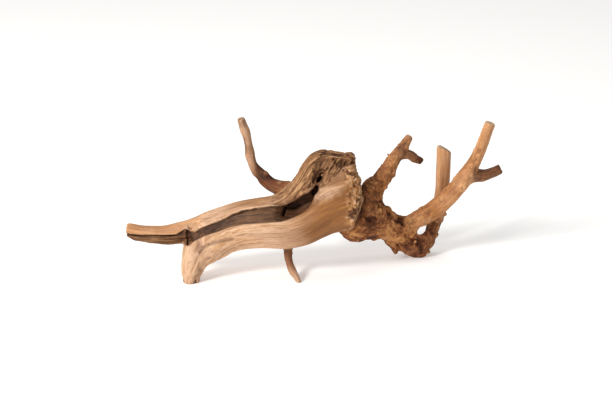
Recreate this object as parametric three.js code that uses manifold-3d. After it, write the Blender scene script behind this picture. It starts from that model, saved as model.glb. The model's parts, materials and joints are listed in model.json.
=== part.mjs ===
// A piece of driftwood: a thick weathered trunk with a long tapering limb to the left, a broken
// foot and a thin prop root underneath, a raised knobbly crest, and a gnarled root mass to the
// right that throws up three antler-like arms. It grew as one piece, so it is one solid.
// Millimetres, +Z up, +X along the length, origin at the bottom centre of the bounding box.

import * as THREE from 'three';
import Module from 'manifold-3d';

// ---- driving dimensions, mm and degrees -------------------------------------------------------

// Direction of the grain plane: the limbs fan out in a plane leaning back by this angle.
const LEAN = 18;

// Centre of the finished bounding box in the coordinates the stations below are given in.
const CENTRE_X = 1.5;
const CENTRE_Y = 5;

// How many cross-sections are lofted between two neighbouring stations.
const RINGS_PER_STATION = 2;

// The weathered channel along the front of the trunk.
const CHANNEL_CUTTER_LIFT = 0.55;
const CHANNEL_SIDES = 12;

// The small bored hole beside the channel's upper end.
const BORE_START = [5, -18, 120];
const BORE_RADIUS = 2.2;
const BORE_DEPTH = 14;

// Every limb is a row of stations along its middle line: x, y, z, half-width across the grain
// plane, half-width through it. `sides` is the facet count round it and `gnarl` how lumpy it is.
const TRUNK = {
  sides: 22,
  gnarl: 0.03,
  stations: [
    [-143.5, -33, 44, 13, 10],
    [-134, -29, 47, 21, 16],
    [-122, -27, 51, 26.5, 20.5],
    [-106.5, -24, 56.5, 27.5, 23.5],
    [-88.5, -21, 61.5, 28.5, 25.5],
    [-71, -19, 63.5, 29.5, 27],
    [-53, -17, 64, 31, 27.5],
    [-35, -15.5, 64, 32, 28.5],
    [-19.5, -14, 68.5, 33.5, 30],
    [-5, -12.5, 76.5, 35, 31],
    [9, -11, 84.5, 37, 32],
    [23.5, -9, 90.5, 40, 33],
    [36, -6.5, 94, 45, 33.5],
    [44, -4.5, 94, 41.5, 32],
    [50, -3, 93, 32, 26],
    [54, -2, 92, 21, 17],
  ],
};

const LEFT_LIMB = {
  sides: 14,
  gnarl: 0.04,
  stations: [
    [-222.5, -38, 60.5, 9.5, 7.5],
    [-217.5, -37.5, 59.5, 10.5, 8],
    [-211, -37, 58, 10.5, 8.5],
    [-203.5, -36, 56.5, 10.5, 9],
    [-192, -34, 55, 11, 9.5],
    [-177, -31, 53.5, 12, 10.5],
    [-161.5, -28, 54.5, 13, 11],
    [-147.5, -25, 56.5, 13.5, 12],
    [-130, -21, 61, 14.5, 13],
    [-110, -16, 65, 14, 13],
  ],
};

const FOOT = {
  sides: 14,
  gnarl: 0.05,
  stations: [
    [-146, -47.5, -3, 9.5, 8],
    [-145.5, -45, 12, 11, 10],
    [-142, -41, 22.5, 14, 12],
    [-135.5, -37, 32, 16.5, 14.5],
    [-125, -31, 38.5, 17.5, 17],
    [-111, -24, 43, 15.5, 16.5],
  ],
};

const HEEL = {
  sides: 10,
  gnarl: 0.03,
  stations: [
    [-146, -41, 40, 8.5, 8.5],
    [-146.5, -43, 28, 9.5, 9],
    [-146, -45, 15, 9.5, 8.5],
  ],
};

const PROP_ROOT = {
  sides: 9,
  gnarl: 0.04,
  stations: [
    [-31.5, -16, 36, 6, 6],
    [-31.5, -20, 25, 4.8, 4.6],
    [-29.5, -28, 17.5, 4.4, 4],
    [-26.5, -36, 11.5, 4.6, 3.8],
    [-22, -42.5, 6, 3.3, 3],
    [-17.5, -49, -1.5, 2.6, 2.8],
  ],
};

const CREST = {
  sides: 14,
  gnarl: 0.06,
  stations: [
    [-46, -13, 81, 13, 14.5],
    [-31.5, -10, 86, 15.5, 15.5],
    [-20.5, -7, 95.5, 15.5, 16.5],
    [-10, -5, 110.5, 14, 16.5],
    [-1, -4, 126, 14.5, 15.5],
    [9, -3, 133, 15, 14.5],
    [22, -2, 131.5, 15, 14.5],
    [33, -1, 128.5, 15, 14.5],
    [41, -1, 125, 13, 12],
  ],
};

const CREST_BOWL = {
  sides: 14,
  gnarl: 0.05,
  stations: [
    [6.5, 0, 111.5, 20.5, 18],
    [26, 0, 115.5, 24, 18],
    [38, 0, 115, 17, 15],
  ],
};

const CREST_HORN = {
  sides: 8,
  gnarl: 0.04,
  stations: [
    [35, 0, 121, 13, 13],
    [40, -1, 134, 9.5, 12],
    [43.5, -2, 142.5, 5.5, 9],
  ],
};

const SNAG = {
  sides: 10,
  gnarl: 0.04,
  stations: [
    [-20, -2, 98, 11, 11],
    [-29, 4, 97, 10.5, 10],
    [-40, 13, 97, 9, 9],
    [-50.5, 20, 100.5, 8, 7.5],
    [-59.5, 24, 106.5, 7.6, 7],
    [-67, 26.5, 114.5, 7, 6.5],
    [-73.5, 28, 124, 5.8, 6],
    [-77, 27.5, 136, 6.2, 5.5],
    [-79, 26, 149, 5.5, 5],
    [-82, 24, 163.5, 5.5, 5],
    [-85.5, 22, 174.5, 5, 4.5],
    [-88, 20, 182.5, 4.5, 4.5],
  ],
};

const ROOT_MASS = {
  sides: 16,
  gnarl: 0.08,
  stations: [
    [38, 5, 80, 28, 26],
    [52.5, 11, 66, 36, 27],
    [67.5, 19, 57, 27.5, 24],
    [82, 28, 49, 20, 19.5],
    [94.5, 32, 40.5, 17.5, 18],
    [107, 37, 32, 18.5, 18],
    [118.5, 42, 22.5, 17.5, 17.5],
    [125, 46, 13, 16, 15.5],
    [127.5, 47.5, 5, 12, 12.5],
    [128, 48, -2, 7.5, 8],
  ],
};

const ROOT_SPUR = {
  sides: 8,
  gnarl: 0.04,
  stations: [
    [91, 30, 33, 10, 10],
    [96, 30, 21, 6.5, 7],
    [99.5, 30, 11.5, 2, 3],
  ],
};

const ARM_LEFT = {
  sides: 12,
  gnarl: 0.06,
  stations: [
    [60, 11, 77, 19, 18],
    [68.5, 16, 92.5, 15, 14.5],
    [79.5, 22, 103.5, 11.5, 11.5],
    [89, 28, 116, 9.8, 10],
    [95.5, 31, 128, 8.5, 8.5],
    [104, 34, 140, 7, 6.5],
    [114.5, 37.5, 156, 4, 4],
  ],
};

const ARM_LEFT_SPUR = {
  sides: 9,
  gnarl: 0.05,
  stations: [
    [102, 33.5, 135, 6.5, 6],
    [113.5, 38, 132.5, 5.5, 5],
    [121.5, 43, 126, 5, 4.5],
    [130, 48, 121, 4, 3.5],
  ],
};

const ARM_RIGHT = {
  sides: 13,
  gnarl: 0.05,
  stations: [
    [92, 30, 50, 10, 11],
    [102, 33, 46, 10, 11],
    [114, 34, 46.5, 9.5, 11],
    [128.5, 35, 53, 10.5, 11],
    [143, 35, 62.5, 11, 11],
    [154.5, 34, 72.5, 11, 11],
    [164, 32.5, 82.5, 10.5, 10.5],
    [172, 31, 92.5, 10, 10],
    [180, 29, 105, 10, 10],
    [187, 26, 118, 9, 9],
    [193, 23, 131.5, 7.5, 7.5],
    [198, 20, 144.5, 7, 6.5],
    [203, 17, 160.5, 6.5, 6.5],
    [208.5, 13, 179, 6, 5.5],
  ],
};

const ARM_RIGHT_SPUR = {
  sides: 10,
  gnarl: 0.05,
  stations: [
    [187, 27, 110.5, 9, 8.5],
    [199.5, 30, 108.5, 8, 7],
    [210.5, 33, 110, 6.5, 6],
    [225, 36, 115.5, 6.2, 5.5],
  ],
};

const ARM_MIDDLE = {
  sides: 12,
  gnarl: 0.04,
  stations: [
    [117.5, 44, 19.5, 13, 13.5],
    [127.5, 48, 14.5, 13.5, 13.5],
    [135.5, 51, 18.5, 11.5, 11],
    [141.5, 54, 26, 9.5, 10],
    [147, 56, 37, 8, 8.5],
    [151.5, 57, 50, 8, 8],
    [154.5, 57, 67.5, 9, 8.5],
    [156, 56, 87, 8.5, 8],
    [156.5, 54, 108, 8.5, 8],
    [157, 49.5, 139, 9, 8.5],
  ],
};

// Limbs that end at the broken rim, and those that don't.
const RIMMED_LIMBS = [TRUNK, CREST, CREST_BOWL, CREST_HORN];
const FREE_LIMBS = [
  LEFT_LIMB, FOOT, HEEL, PROP_ROOT, SNAG, ROOT_MASS, ROOT_SPUR,
  ARM_LEFT, ARM_LEFT_SPUR, ARM_RIGHT, ARM_RIGHT_SPUR, ARM_MIDDLE,
];

// Broken rim at the right end of the trunk and crest, from the bottom up: x, height up the grain
// plane. What lies to the right of it, as far as RIM_REACH, is gone.
const RIM = [
  [60, 16],
  [50, 41],
  [46, 51],
  [50.5, 62.5],
  [54, 71],
  [55, 80],
  [54.5, 94.5],
  [52.5, 107.5],
  [48, 116.5],
  [47, 128.5],
  [47, 155],
];
const RIM_REACH = 120;
const RIM_DEPTH = 160;

// The channel: how far along the trunk (0 left end, 1 right end), angle up the front face in
// degrees, and half its width. It opens into a deep pocket under the crest.
const CHANNEL = [
  [0.01, 10, 6.5],
  [0.09, 16, 6.5],
  [0.18, 17, 7.5],
  [0.235, 18, 8.5],
  [0.29, 21, 9.5],
  [0.34, 21, 10],
  [0.40, 21, 11],
  [0.465, 21, 11.5],
  [0.525, 24, 12.5],
  [0.57, 31, 12.5],
  [0.60, 44, 10.5],
  [0.63, 60, 7.5],
];

// Pocket where the channel runs under the crest: centre and half-sizes.
const POCKET_CENTRE = [-16, -38, 92];
const POCKET_SIZE = [19, 19, 12];

// Dished hollow on the front of the crest: centre and half-sizes.
const DISH_CENTRE = [23, -33, 129];
const DISH_SIZE = [19, 18, 17];

// Nodules of bark on the root mass and knots on the arms: centre and radius.
const NODULES = [
  [57, -6, 62, 9],
  [67, 1, 45, 9],
  [80, 13, 41, 8],
  [79, 14, 58, 8],
  [97, 20, 31, 8],
  [110, 23, 38, 8],
  [120, 32, 22, 9],
  [174, 25, 97, 7],
  [152, 28, 62, 7],
  [182, 22, 112, 7.5],
  [74, 13, 101, 8],
];

// ---- building blocks --------------------------------------------------------------------------

const wasm = await Module();
wasm.setup();

const THROUGH = new THREE.Vector3(
  0, Math.cos(THREE.MathUtils.degToRad(LEAN)), -Math.sin(THREE.MathUtils.degToRad(LEAN)),
);

function toSolid(positions, triangles) {
  return new wasm.Manifold(new wasm.Mesh({
    numProp: 3,
    vertProperties: new Float32Array(positions),
    triVerts: new Uint32Array(triangles),
  }));
}

// Middle line and half-widths as two curves that share one parameter.
function limbCurves(limb) {
  const middle = limb.stations.map(([x, y, z]) => new THREE.Vector3(x, y, z));
  const widths = limb.stations.map(([, , , across, through]) => new THREE.Vector3(across, through, 0));
  return {
    middle: new THREE.CatmullRomCurve3(middle, false, 'catmullrom', 0.5),
    widths: new THREE.CatmullRomCurve3(widths, false, 'catmullrom', 0.5),
  };
}

// Point on a limb's skin; angle 0 faces up the grain plane and 90 degrees faces the back.
function skinPoint(curves, t, angle, swell) {
  const tangent = curves.middle.getTangent(t);
  const through = THROUGH.clone().addScaledVector(tangent, -THROUGH.dot(tangent)).normalize();
  const across = tangent.clone().cross(through);
  const width = curves.widths.getPoint(t);
  return curves.middle.getPoint(t)
    .addScaledVector(across, width.x * swell * Math.cos(angle))
    .addScaledVector(through, width.y * swell * Math.sin(angle));
}

// Slow lumps round and along a limb, so that it isn't a perfect ellipse.
function lump(gnarl, angle, along) {
  return 1 + gnarl * (0.6 * Math.sin(2 * angle + 2.1 * along)
    + 0.5 * Math.sin(3 * angle - 3.4 * along + 1) + 0.4 * Math.sin(angle + 5.3 * along));
}

// Closed tube with flat ends, from rings of points.
function skinRings(rings) {
  const sides = rings[0].length;
  const positions = rings.flat().flatMap((p) => p.toArray());
  const triangles = [];
  for (let i = 0; i + 1 < rings.length; i += 1) {
    for (let j = 0; j < sides; j += 1) {
      const a = i * sides + j;
      const b = i * sides + (j + 1) % sides;
      triangles.push(a, b, b + sides, a, b + sides, a + sides);
    }
  }
  const last = (rings.length - 1) * sides;
  for (let j = 1; j + 1 < sides; j += 1) {
    triangles.push(0, j + 1, j);
    triangles.push(last, last + j, last + j + 1);
  }
  return toSolid(positions, triangles);
}

function loftLimb(limb) {
  const curves = limbCurves(limb);
  const count = (limb.stations.length - 1) * RINGS_PER_STATION;
  const rings = [];
  for (let i = 0; i <= count; i += 1) {
    const ring = [];
    for (let j = 0; j < limb.sides; j += 1) {
      const angle = (-2 * Math.PI * j) / limb.sides;
      const along = (i * limb.stations.length) / count;
      ring.push(skinPoint(curves, i / count, angle, lump(limb.gnarl, angle, along)));
    }
    rings.push(ring);
  }
  return skinRings(rings);
}

// Round bar swept along the trunk's skin, standing out of it so that only its inner side cuts.
function channelCutter() {
  const curves = limbCurves(TRUNK);
  const points = CHANNEL.map(([t, rise, half]) => {
    const angle = THREE.MathUtils.degToRad(360 - 90 + rise);
    const base = skinPoint(curves, t, angle, 1);
    const outward = base.clone().sub(curves.middle.getPoint(t)).normalize();
    return base.addScaledVector(outward, half * CHANNEL_CUTTER_LIFT);
  });
  const path = new THREE.CatmullRomCurve3(points);
  const sizes = new THREE.CatmullRomCurve3(CHANNEL.map(([, , half]) => new THREE.Vector3(half, 0, 0)));
  const steps = CHANNEL.length * 2;
  const frames = path.computeFrenetFrames(steps, false);
  const rings = [];
  for (let i = 0; i <= steps; i += 1) {
    const centre = path.getPointAt(i / steps);
    const radius = 1.18 * sizes.getPointAt(i / steps).x;
    const ring = [];
    for (let j = 0; j < CHANNEL_SIDES; j += 1) {
      const angle = (2 * Math.PI * j) / CHANNEL_SIDES;
      ring.push(centre.clone()
        .addScaledVector(frames.normals[i], radius * Math.cos(angle))
        .addScaledVector(frames.binormals[i], radius * Math.sin(angle)));
    }
    rings.push(ring);
  }
  return skinRings(rings);
}

// Faceted ball stretched to its half-sizes.
function ball(centre, halfSizes, detail) {
  const geometry = new THREE.OctahedronGeometry(1, detail);
  geometry.scale(...halfSizes);
  geometry.translate(...centre);
  return geometrySolid(geometry);
}

// Any closed three.js geometry as a solid, its repeated corners joined.
function geometrySolid(geometry) {
  const points = geometry.getAttribute('position');
  const seen = new Map();
  const positions = [];
  const triangles = [];
  const count = geometry.index ? geometry.index.count : points.count;
  for (let i = 0; i < count; i += 1) {
    const k = geometry.index ? geometry.index.getX(i) : i;
    const corner = [points.getX(k), points.getY(k), points.getZ(k)];
    const key = corner.map((value) => Math.round(value * 1e4)).join();
    if (!seen.has(key)) {
      seen.set(key, seen.size);
      positions.push(...corner);
    }
    triangles.push(seen.get(key));
  }
  return toSolid(positions, triangles);
}

// Narrow bar from one point towards another.
function bore(start, direction) {
  const geometry = new THREE.CylinderGeometry(BORE_RADIUS, BORE_RADIUS, 2 * BORE_DEPTH, 8);
  const turn = new THREE.Quaternion().setFromUnitVectors(new THREE.Vector3(0, 1, 0), direction);
  geometry.applyQuaternion(turn);
  geometry.translate(start.x, start.y, start.z);
  return geometrySolid(geometry);
}

// Slab that takes away whatever lies to the right of the broken rim.
function rimCutter() {
  const [lowest, highest] = [RIM[0][1], RIM.at(-1)[1]];
  const outline = [...RIM, [RIM_REACH, highest], [RIM_REACH, lowest]];
  const shape = new THREE.Shape(outline.map(([x, up]) => new THREE.Vector2(x, up)));
  const geometry = new THREE.ExtrudeGeometry(shape, { depth: RIM_DEPTH, bevelEnabled: false });
  geometry.translate(0, 0, -RIM_DEPTH / 2);
  geometry.rotateX(THREE.MathUtils.degToRad(90 - LEAN));
  return geometrySolid(geometry);
}

// Everything below the ground, so that the three feet end in flat faces on it.
function ground() {
  const geometry = new THREE.BoxGeometry(600, 300, 40);
  geometry.translate(0, 0, -20);
  return geometrySolid(geometry);
}

// ---- the driftwood ----------------------------------------------------------------------------

function growDriftwood() {
  let solid = RIMMED_LIMBS.map(loftLimb).reduce((whole, limb) => whole.add(limb));
  solid = solid.subtract(rimCutter());
  for (const limb of FREE_LIMBS) {
    solid = solid.add(loftLimb(limb));
  }
  for (const [x, y, z, radius] of NODULES) {
    solid = solid.add(ball([x, y, z], [radius, radius, radius], 1));
  }
  return solid;
}

function weather(solid) {
  return solid
    .subtract(channelCutter())
    .subtract(ball(POCKET_CENTRE, POCKET_SIZE, 2))
    .subtract(ball(DISH_CENTRE, DISH_SIZE, 2))
    .subtract(bore(new THREE.Vector3(...BORE_START), THROUGH))
    .subtract(ground());
}

function toGeometry(solid) {
  const mesh = solid.getMesh();
  const geometry = new THREE.BufferGeometry();
  geometry.setAttribute('position', new THREE.BufferAttribute(mesh.vertProperties, 3));
  geometry.setIndex(new THREE.BufferAttribute(mesh.triVerts, 1));
  geometry.translate(-CENTRE_X, -CENTRE_Y, 0);
  geometry.computeVertexNormals();
  return geometry;
}

const driftwood = new THREE.Mesh(
  toGeometry(weather(growDriftwood())),
  new THREE.MeshStandardMaterial({ color: 0xa9835c, roughness: 0.9, metalness: 0 }),
);
driftwood.name = 'driftwood';

const group = new THREE.Group();
group.name = 'driftwood_piece';
group.add(driftwood);

export default group;
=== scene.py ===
"""Driftwood piece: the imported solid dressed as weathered, partly sanded wood on a pale floor.

All shaping is done in millimetres in the frame of the limb stations. The finished mesh is moved to
the row frame and scaled to metres at the end.
"""

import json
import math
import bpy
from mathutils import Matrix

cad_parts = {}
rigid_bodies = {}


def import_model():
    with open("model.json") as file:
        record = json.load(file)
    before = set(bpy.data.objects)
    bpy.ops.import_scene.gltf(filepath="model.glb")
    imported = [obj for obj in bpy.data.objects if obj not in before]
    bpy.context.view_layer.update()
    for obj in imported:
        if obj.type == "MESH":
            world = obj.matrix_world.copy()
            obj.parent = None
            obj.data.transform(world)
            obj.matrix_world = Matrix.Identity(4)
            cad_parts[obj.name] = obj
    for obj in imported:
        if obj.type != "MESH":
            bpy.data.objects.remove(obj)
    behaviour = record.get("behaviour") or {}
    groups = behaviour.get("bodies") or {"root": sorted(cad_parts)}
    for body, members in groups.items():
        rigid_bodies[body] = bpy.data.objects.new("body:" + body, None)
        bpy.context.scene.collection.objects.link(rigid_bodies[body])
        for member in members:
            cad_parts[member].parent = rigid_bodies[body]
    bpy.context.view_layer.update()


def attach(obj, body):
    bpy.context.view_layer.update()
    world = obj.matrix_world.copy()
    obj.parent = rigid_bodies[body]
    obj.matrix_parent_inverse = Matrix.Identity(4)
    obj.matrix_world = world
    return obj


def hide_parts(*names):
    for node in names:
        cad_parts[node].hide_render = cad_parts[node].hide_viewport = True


bl_info = {
    "name": "Driftwood Piece",
    "version": (1, 0, 0),
    "blender": (4, 5, 0),
    "location": "View3D > Sidebar > Driftwood",
    "description": "Grows a piece of driftwood from limb stations and finishes it as weathered wood",
    "category": "Object",
}

from concurrent.futures import ThreadPoolExecutor

import bpy
import numpy as np
import openvdb
from mathutils import Vector

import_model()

# ---- layout of the piece ----------------------------------------------------------------------

MM = 0.001

# Station coordinates less this give the row frame, whose origin is the box's bottom centre.
CENTRE = np.array([1.5, 5.0, 0.0])

# The limbs fan out in a plane that leans back by this angle; their faces are laid out on it as
# seen from a sight point in front, so that outlines drawn on the plane land on the front skin.
LEAN = math.radians(18)
UPWARD = np.array([0.0, math.sin(LEAN), math.cos(LEAN)])
THROUGH = np.array([0.0, math.cos(LEAN), -math.sin(LEAN)])
SIGHT_DISTANCE = 2435.0
SIGHT_TARGET = np.array([-10.0, 0.0, 82.0])
SIGHT_POINT = SIGHT_TARGET - SIGHT_DISTANCE * THROUGH

# Limb stations in millimetres: x, y, z, half-width across the leaning plane, half-width through
# it. `join` is how softly the limb flows into its neighbours, `parent` the limb it grows out of
# and `rooted_at` the station that lies inside that limb. `bark`, `warm` and `brown` say how much
# root bark, orange-tan and red-brown colour it carries, as (share of its length, amount) pairs;
# a limb that leaves one out has none of it.
LIMBS = {
    "trunk": {
        "join": 4,
        "warm": [(0, 0.1), (1, 0)],
        "stations": [
            (-143.5, -33, 44, 13, 10),
            (-134, -29, 47, 21, 16),
            (-122, -27, 51, 26.5, 20.5),
            (-106.5, -24, 56.5, 27.5, 23.5),
            (-88.5, -21, 61.5, 28.5, 25.5),
            (-71, -19, 63.5, 29.5, 27),
            (-53, -17, 64, 31, 27.5),
            (-35, -15.5, 64, 32, 28.5),
            (-19.5, -14, 68.5, 33.5, 30),
            (-5, -12.5, 76.5, 35, 31),
            (9, -11, 84.5, 37, 32),
            (23.5, -9, 90.5, 40, 33),
            (36, -6.5, 94, 45, 33.5),
            (44, -4.5, 94, 41.5, 32),
            (50, -3, 93, 32, 26),
            (54, -2, 92, 21, 17),
        ],
    },
    "left_limb": {
        "join": 7,
        "parent": "trunk",
        "rooted_at": -1,
        "warm": [(0, 0.7), (0.5, 0.7), (1, 0.15)],
        "stations": [
            (-222.5, -38, 60.5, 9.5, 7.5),
            (-217.5, -37.5, 59.5, 10.5, 8),
            (-211, -37, 58, 10.5, 8.5),
            (-203.5, -36, 56.5, 10.5, 9),
            (-192, -34, 55, 11, 9.5),
            (-177, -31, 53.5, 12, 10.5),
            (-161.5, -28, 54.5, 13, 11),
            (-147.5, -25, 56.5, 13.5, 12),
            (-130, -21, 61, 14.5, 13),
            (-110, -16, 65, 14, 13),
        ],
    },
    "foot": {
        "join": 8,
        "parent": "trunk",
        "rooted_at": -1,
        "stations": [
            (-146, -47.5, -3, 9.5, 8),
            (-145.5, -45, 12, 11, 10),
            (-142, -41, 22.5, 14, 12),
            (-135.5, -37, 32, 16.5, 14.5),
            (-125, -31, 38.5, 17.5, 17),
            (-111, -24, 43, 15.5, 16.5),
        ],
    },
    "heel": {
        "join": 9,
        "parent": "foot",
        "rooted_at": -1,
        "stations": [
            (-142.5, -34, 47, 8, 8),
            (-144.5, -38, 37, 10.5, 9),
            (-146, -41, 27, 11, 9.5),
            (-146, -44, 12, 11, 9),
        ],
    },
    "peg": {
        "join": 1,
        "parent": "left_limb",
        "rooted_at": 0,
        "stations": [
            (-149.5, -30, 60, 2.4, 2.4),
            (-149.7, -37.5, 64, 2.1, 2.1),
            (-150, -40, 68.5, 1.7, 1.7),
        ],
    },
    "prop_root": {
        "join": 2,
        "parent": "trunk",
        "rooted_at": 0,
        "bark": [(0, 0.5), (0.4, 0.2), (1, 0.1)],
        "warm": [(0, 0.2), (1, 0.1)],
        "brown": [(0, 1), (0.5, 0.85), (0.7, 0.45), (1, 0.25)],
        "stations": [
            (-31.5, -16, 36, 6, 6),
            (-31.5, -20, 25, 4.8, 4.6),
            (-29.5, -28, 17.5, 4.4, 4),
            (-26.5, -36, 11.5, 4.6, 3.8),
            (-22, -42.5, 6, 3.3, 3),
            (-17.5, -49, -1.5, 2.6, 2.8),
        ],
    },
    "crest": {
        "join": 5,
        "parent": "trunk",
        "rooted_at": 0,
        "stations": [
            (-46, -13, 81, 13, 14.5),
            (-31.5, -10, 86, 15.5, 15.5),
            (-20.5, -7, 95.5, 15.5, 16.5),
            (-10, -5, 110.5, 14, 16.5),
            (-1, -4, 126, 14.5, 15.5),
            (9, -3, 133, 15, 14.5),
            (22, -2, 131.5, 15, 14.5),
            (33, -1, 128.5, 15, 14.5),
            (41, -1, 125, 13, 12),
        ],
    },
    "crest_bowl": {
        "join": 4,
        "parent": "crest",
        "rooted_at": -1,
        "stations": [
            (6.5, 0, 111.5, 20.5, 18),
            (26, 0, 115.5, 24, 18),
            (38, 0, 115, 17, 15),
        ],
    },
    "crest_horn": {
        "join": 2,
        "parent": "crest_bowl",
        "rooted_at": 0,
        "brown": [(0, 0.35)],
        "stations": [
            (35, 0, 121, 13, 13),
            (40, -1, 134, 9.5, 12),
            (43.5, -2, 142.5, 5.5, 9),
        ],
    },
    "snag": {
        "join": 3,
        "parent": "crest",
        "rooted_at": 0,
        "bark": [(0, 0.6), (0.3, 0.35), (0.5, 0.1), (1, 0)],
        "warm": [(0, 1), (0.35, 0.85), (0.5, 0.3), (1, 0.05)],
        "brown": [(0, 1), (0.38, 1), (0.5, 0.6), (0.6, 0.38), (1, 0.32)],
        "stations": [
            (-20, -2, 98, 11, 11),
            (-29, 4, 97, 10.5, 10),
            (-40, 13, 97, 9, 9),
            (-50.5, 20, 100.5, 8, 7.5),
            (-59.5, 24, 106.5, 7.6, 7),
            (-67, 26.5, 114.5, 7, 6.5),
            (-73.5, 28, 124, 5.8, 6),
            (-77, 27.5, 136, 6.2, 5.5),
            (-79, 26, 149, 5.5, 5),
            (-82, 24, 163.5, 5.5, 5),
            (-85.5, 22, 174.5, 5, 4.5),
            (-88, 20, 182.5, 4.5, 4.5),
        ],
    },
    "root_mass": {
        "join": 2.5,
        "parent": "trunk",
        "rooted_at": 0,
        "bark": [(0, 1), (1, 1)],
        "warm": [(0, 0.4), (0.5, 0.6), (1, 0.5)],
        "brown": [(0, 0.3), (1, 0.25)],
        "stations": [
            (40, 5, 80, 26, 26),
            (56.5, 12, 65, 34, 27),
            (68, 19, 57, 27.5, 24),
            (82, 28, 49, 19.5, 19.5),
            (94.5, 32, 41, 16.2, 18),
            (107, 37, 32, 18.5, 18),
            (118.5, 42, 22.5, 17.5, 17.5),
            (125, 46, 13, 16, 15.5),
            (127.5, 47.5, 5, 12, 12.5),
            (128, 48, -2, 7.5, 8),
        ],
    },
    "root_spur": {
        "join": 3,
        "parent": "root_mass",
        "rooted_at": 0,
        "bark": [(0, 1), (1, 0.9)],
        "warm": [(0, 0.5), (1, 0.6)],
        "brown": [(0, 0.6)],
        "stations": [
            (91, 29, 33, 9.5, 10),
            (96.5, 28.5, 20, 6, 6.5),
            (100, 28, 8.5, 1.8, 2.5),
        ],
    },
    "arm_left": {
        "join": 4,
        "parent": "root_mass",
        "rooted_at": 0,
        "bark": [(0, 1), (0.35, 0.9), (0.7, 0.8), (1, 0.6)],
        "warm": [(0, 0.6), (0.5, 0.7), (1, 0.5)],
        "brown": [(0, 0.3), (0.4, 0.5), (1, 0.4)],
        "stations": [
            (60, 11, 77, 19, 18),
            (68.5, 16, 92.5, 15, 14.5),
            (79, 22, 103.5, 10.6, 11),
            (88.5, 28, 116, 9.2, 9.5),
            (95.5, 31, 128, 8.5, 8.5),
            (104, 34, 140, 7, 6.5),
            (114.5, 37.5, 156, 4, 4),
        ],
    },
    "arm_left_spur": {
        "join": 3,
        "parent": "arm_left",
        "rooted_at": 0,
        "bark": [(0, 0.5), (1, 0.6)],
        "warm": [(0, 0.1), (1, 0)],
        "brown": [(0, 0.7), (1, 0.9)],
        "stations": [
            (102, 33.5, 135, 6.5, 6),
            (113.5, 38, 132.5, 5.5, 5),
            (121.5, 43, 126, 5, 4.5),
            (130, 48, 121, 4, 3.5),
        ],
    },
    "arm_right": {
        "join": 4,
        "parent": "root_mass",
        "rooted_at": 0,
        "bark": [(0, 0.8), (0.25, 0.5), (0.4, 0.25), (0.7, 0.25), (1, 0.3)],
        "warm": [(0, 0.8), (0.3, 1), (0.6, 0.9), (1, 0.6)],
        "brown": [(0, 0.4), (0.3, 0.3), (0.55, 0.1), (1, 0)],
        "stations": [
            (92, 30, 50, 10, 11),
            (102, 33, 46, 10, 11),
            (114, 34, 46.5, 9.5, 11),
            (128.5, 35, 53, 10.5, 11),
            (143, 35, 62.5, 11, 11),
            (154.5, 34, 72.5, 11, 11),
            (164, 32.5, 82.5, 10.5, 10.5),
            (172, 31, 92.5, 10, 10),
            (180, 29, 105, 10, 10),
            (187, 26, 118, 9, 9),
            (193, 23, 131.5, 7.5, 7.5),
            (198, 20, 144.5, 7, 6.5),
            (203, 17, 160.5, 6.5, 6.5),
            (208.5, 13, 179, 6, 5.5),
        ],
    },
    "arm_right_spur": {
        "join": 5,
        "parent": "arm_right",
        "rooted_at": 0,
        "bark": [(0, 0.2), (0.4, 0.4), (1, 0.4)],
        "warm": [(0, 0.6), (0.4, 0.1), (1, 0.1)],
        "brown": [(0, 0), (0.3, 0.8), (1, 0.9)],
        "stations": [
            (187, 27, 110.5, 9, 8.5),
            (199.5, 30, 108.5, 8, 7),
            (210.5, 33, 110, 6.5, 6),
            (225, 36, 115.5, 6.2, 5.5),
        ],
    },
    "arm_middle": {
        "join": 3,
        "parent": "root_mass",
        "rooted_at": 0,
        "bark": [(0, 1), (0.25, 0.8), (0.4, 0.3), (0.5, 0), (1, 0)],
        "warm": [(0, 0.5), (0.5, 0.75), (1, 0.65)],
        "brown": [(0, 0.5), (0.4, 0.3), (0.5, 0)],
        "stations": [
            (117.5, 44, 19.5, 13, 13.5),
            (127.5, 48, 14.5, 13.5, 13.5),
            (135.5, 51, 18.5, 11.5, 11),
            (141.5, 54, 26, 9.5, 10),
            (147, 56, 37, 8, 8.5),
            (151.5, 57, 50, 8, 8),
            (154.5, 57, 67.5, 9, 8.5),
            (156, 56, 87, 8.5, 8),
            (156.5, 54, 108, 8.5, 8),
            (157, 49.5, 139, 9, 8.5),
        ],
    },
}

# Where a limb's free end is sawn or snapped at a slant: a point on the cut and its outward normal.
CUTS = {
    "arm_middle": [((157.0, 50.0, 137.5), (0.50, 0.05, 0.86))],
    "arm_right": [((208.5, 13.0, 179.5), (0.25, -0.10, 0.96))],
    "left_limb": [
        ((-223.0, -38.0, 60.0), (-0.98, -0.1, -0.12)),
        ((-216.0, -38.0, 50.5), (-0.62, -0.05, -0.78)),
    ],
    "snag": [((-88.0, 20.0, 182.5), (-0.25, -0.25, 0.93))],
    "heel": [((-155.3, -43.0, 25.0), (-1.0, 0.0, 0.03))],
    "foot": [((-155.3, -43.0, 25.0), (-1.0, 0.0, 0.03))],
}

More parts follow.
